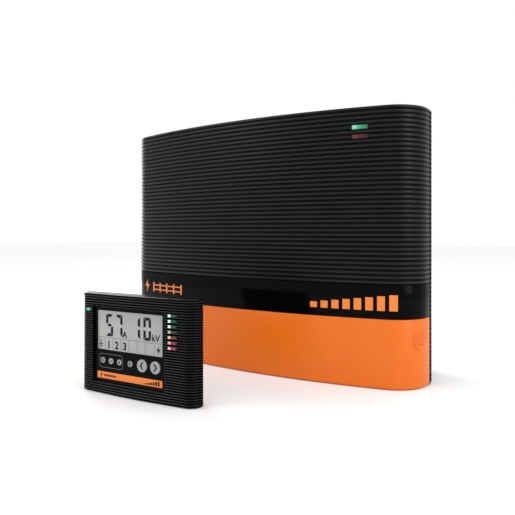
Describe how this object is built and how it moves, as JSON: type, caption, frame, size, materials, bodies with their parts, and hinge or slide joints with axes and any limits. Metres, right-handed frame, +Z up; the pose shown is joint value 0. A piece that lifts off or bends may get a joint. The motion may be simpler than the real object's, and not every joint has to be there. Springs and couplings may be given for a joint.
{
  "type": "fence energizer",
  "caption": "Wall-type mains fence energizer with a ribbed bowed case, a slide-off terminal cover and screw terminals, and a separate controller with display and keys.",
  "frame": {"origin": "mid width of the energizer, on the underside of its rear case, 95 mm behind the front of the bow", "axes": "+X to the right across the case as seen from the front, +Y from the front to the wall, +Z up"},
  "size_m": [0.3964, 0.2734, 0.285],
  "materials": {
    "case_black": "moulded, fine satin texture",
    "gloss_black": "polished moulding",
    "cover_orange": "moulded, semi-gloss",
    "lens_green": "clear tinted polycarbonate",
    "lens_red": "clear tinted polycarbonate",
    "lamp_clear": "clear light guide",
    "display_grey": "liquid crystal glass",
    "key_grey": "moulded keys",
    "seal_rubber": "black elastomer",
    "terminal_brass": "turned",
    "knob_red": "moulded",
    "knob_green": "moulded",
    "screw_steel": "zinc plated",
    "circuit_board": "solder mask",
    "core_steel": "varnished laminations",
    "coil_copper": "enamelled copper wire",
    "capacitor_sleeve": "sleeved can",
    "sink_aluminium": "anodised extrusion",
    "socket_black": "moulded",
    "fuse_glass": "clear tube"
  },
  "bodies": {
    "energizer": {"rear_case": "case_black", "front_cover": "case_black", "case_seal": "seal_rubber", "name_band": "gloss_black", "terminal_tray": "case_black", "terminal_stud_1": "terminal_brass", "terminal_stud_2": "terminal_brass", "terminal_stud_3": "terminal_brass", "terminal_stud_4": "terminal_brass", "mains_inlet": "socket_black", "controller_port": "socket_black", "main_board": "circuit_board", "transformer_core": "core_steel", "transformer_winding": "coil_copper", "storage_capacitor_1": "capacitor_sleeve", "storage_capacitor_2": "capacitor_sleeve", "storage_capacitor_3": "capacitor_sleeve", "storage_capacitor_4": "capacitor_sleeve", "heat_sink": "sink_aluminium", "thyristor": "socket_black", "choke_coil": "coil_copper", "power_module": "socket_black", "fuse_holder": "socket_black", "fuse": "fuse_glass", "fence_lamp_lens": "lens_green", "fault_lamp_lens": "lens_red", "lamp_board": "circuit_board", "case_screw_1": "screw_steel", "case_screw_2": "screw_steel", "case_screw_3": "screw_steel", "case_screw_4": "screw_steel"},
    "terminal_cover": {"terminal_cover": "cover_orange"},
    "clamp_1": {"clamp_washer_1": "terminal_brass"},
    "knob_1": {"terminal_knob_1": "knob_red"},
    "clamp_2": {"clamp_washer_2": "terminal_brass"},
    "knob_2": {"terminal_knob_2": "knob_green"},
    "clamp_3": {"clamp_washer_3": "terminal_brass"},
    "knob_3": {"terminal_knob_3": "knob_red"},
    "clamp_4": {"clamp_washer_4": "terminal_brass"},
    "knob_4": {"terminal_knob_4": "knob_green"},
    "controller": {"controller_rear_shell": "case_black", "controller_front_shell": "case_black", "controller_fascia": "gloss_black", "display_panel": "display_grey", "controller_board": "circuit_board", "keypad_mat": "seal_rubber", "controller_lamp_bar": "lamp_clear", "controller_power_lens": "lens_green", "controller_socket": "socket_black", "controller_screw_1": "screw_steel", "controller_screw_2": "screw_steel", "controller_screw_3": "screw_steel", "controller_screw_4": "screw_steel"},
    "standby_key": {"standby_key": "key_grey"},
    "minus_key": {"minus_key": "key_grey"},
    "plus_key": {"plus_key": "key_grey"},
    "settings_key": {"settings_key": "key_grey"},
    "previous_key": {"previous_key": "key_grey"},
    "next_key": {"next_key": "key_grey"}
  },
  "joints": [
    {"name": "cover_slide", "type": "slide", "parent": "energizer", "child": "terminal_cover", "axis": [0, 0, -1], "range_m": [0, 0.075]},
    {"name": "clamp_1_slide", "type": "slide", "parent": "energizer", "child": "clamp_1", "axis": [0, -1, 0], "range_m": [0, 0.003]},
    {"name": "knob_1_turn", "type": "hinge", "parent": "clamp_1", "child": "knob_1", "pos_m": [-0.06, -0.055, 0.036], "axis": [0, -1, 0], "range_deg": [0, 1085]},
    {"name": "clamp_2_slide", "type": "slide", "parent": "energizer", "child": "clamp_2", "axis": [0, -1, 0], "range_m": [0, 0.003]},
    {"name": "knob_2_turn", "type": "hinge", "parent": "clamp_2", "child": "knob_2", "pos_m": [-0.02, -0.055, 0.036], "axis": [0, -1, 0], "range_deg": [0, 1085]},
    {"name": "clamp_3_slide", "type": "slide", "parent": "energizer", "child": "clamp_3", "axis": [0, -1, 0], "range_m": [0, 0.003]},
    {"name": "knob_3_turn", "type": "hinge", "parent": "clamp_3", "child": "knob_3", "pos_m": [0.02, -0.055, 0.036], "axis": [0, -1, 0], "range_deg": [0, 1085]},
    {"name": "clamp_4_slide", "type": "slide", "parent": "energizer", "child": "clamp_4", "axis": [0, -1, 0], "range_m": [0, 0.003]},
    {"name": "knob_4_turn", "type": "hinge", "parent": "clamp_4", "child": "knob_4", "pos_m": [0.06, -0.055, 0.036], "axis": [0, -1, 0], "range_deg": [0, 1085]},
    {"name": "controller_lift", "type": "slide", "parent": "energizer", "child": "controller", "axis": [0, 0, 1], "range_m": [0, 0.15]},
    {"name": "standby_key_press", "type": "slide", "parent": "controller", "child": "standby_key", "axis": [-0.0845, 0.9964, 0], "range_m": [0, 0.0008], "stiffness_N_per_m": 800, "springref_m": -0.0004},
    {"name": "minus_key_press", "type": "slide", "parent": "controller", "child": "minus_key", "axis": [-0.0845, 0.9964, 0], "range_m": [0, 0.0008], "stiffness_N_per_m": 800, "springref_m": -0.0004},
    {"name": "plus_key_press", "type": "slide", "parent": "controller", "child": "plus_key", "axis": [-0.0845, 0.9964, 0], "range_m": [0, 0.0008], "stiffness_N_per_m": 800, "springref_m": -0.0004},
    {"name": "settings_key_press", "type": "slide", "parent": "controller", "child": "settings_key", "axis": [-0.0845, 0.9964, 0], "range_m": [0, 0.0008], "stiffness_N_per_m": 800, "springref_m": -0.0004},
    {"name": "previous_key_press", "type": "slide", "parent": "controller", "child": "previous_key", "axis": [-0.0845, 0.9964, 0], "range_m": [0, 0.0008], "stiffness_N_per_m": 800, "springref_m": -0.0004},
    {"name": "next_key_press", "type": "slide", "parent": "controller", "child": "next_key", "axis": [-0.0845, 0.9964, 0], "range_m": [0, 0.0008], "stiffness_N_per_m": 800, "springref_m": -0.0004}
  ],
  "couplings": [
    {"joint": "knob_1_turn", "follows": "clamp_1_slide", "rad_per_m": 6283.2},
    {"joint": "knob_2_turn", "follows": "clamp_2_slide", "rad_per_m": 6283.2},
    {"joint": "knob_3_turn", "follows": "clamp_3_slide", "rad_per_m": 6283.2},
    {"joint": "knob_4_turn", "follows": "clamp_4_slide", "rad_per_m": 6283.2}
  ]
}
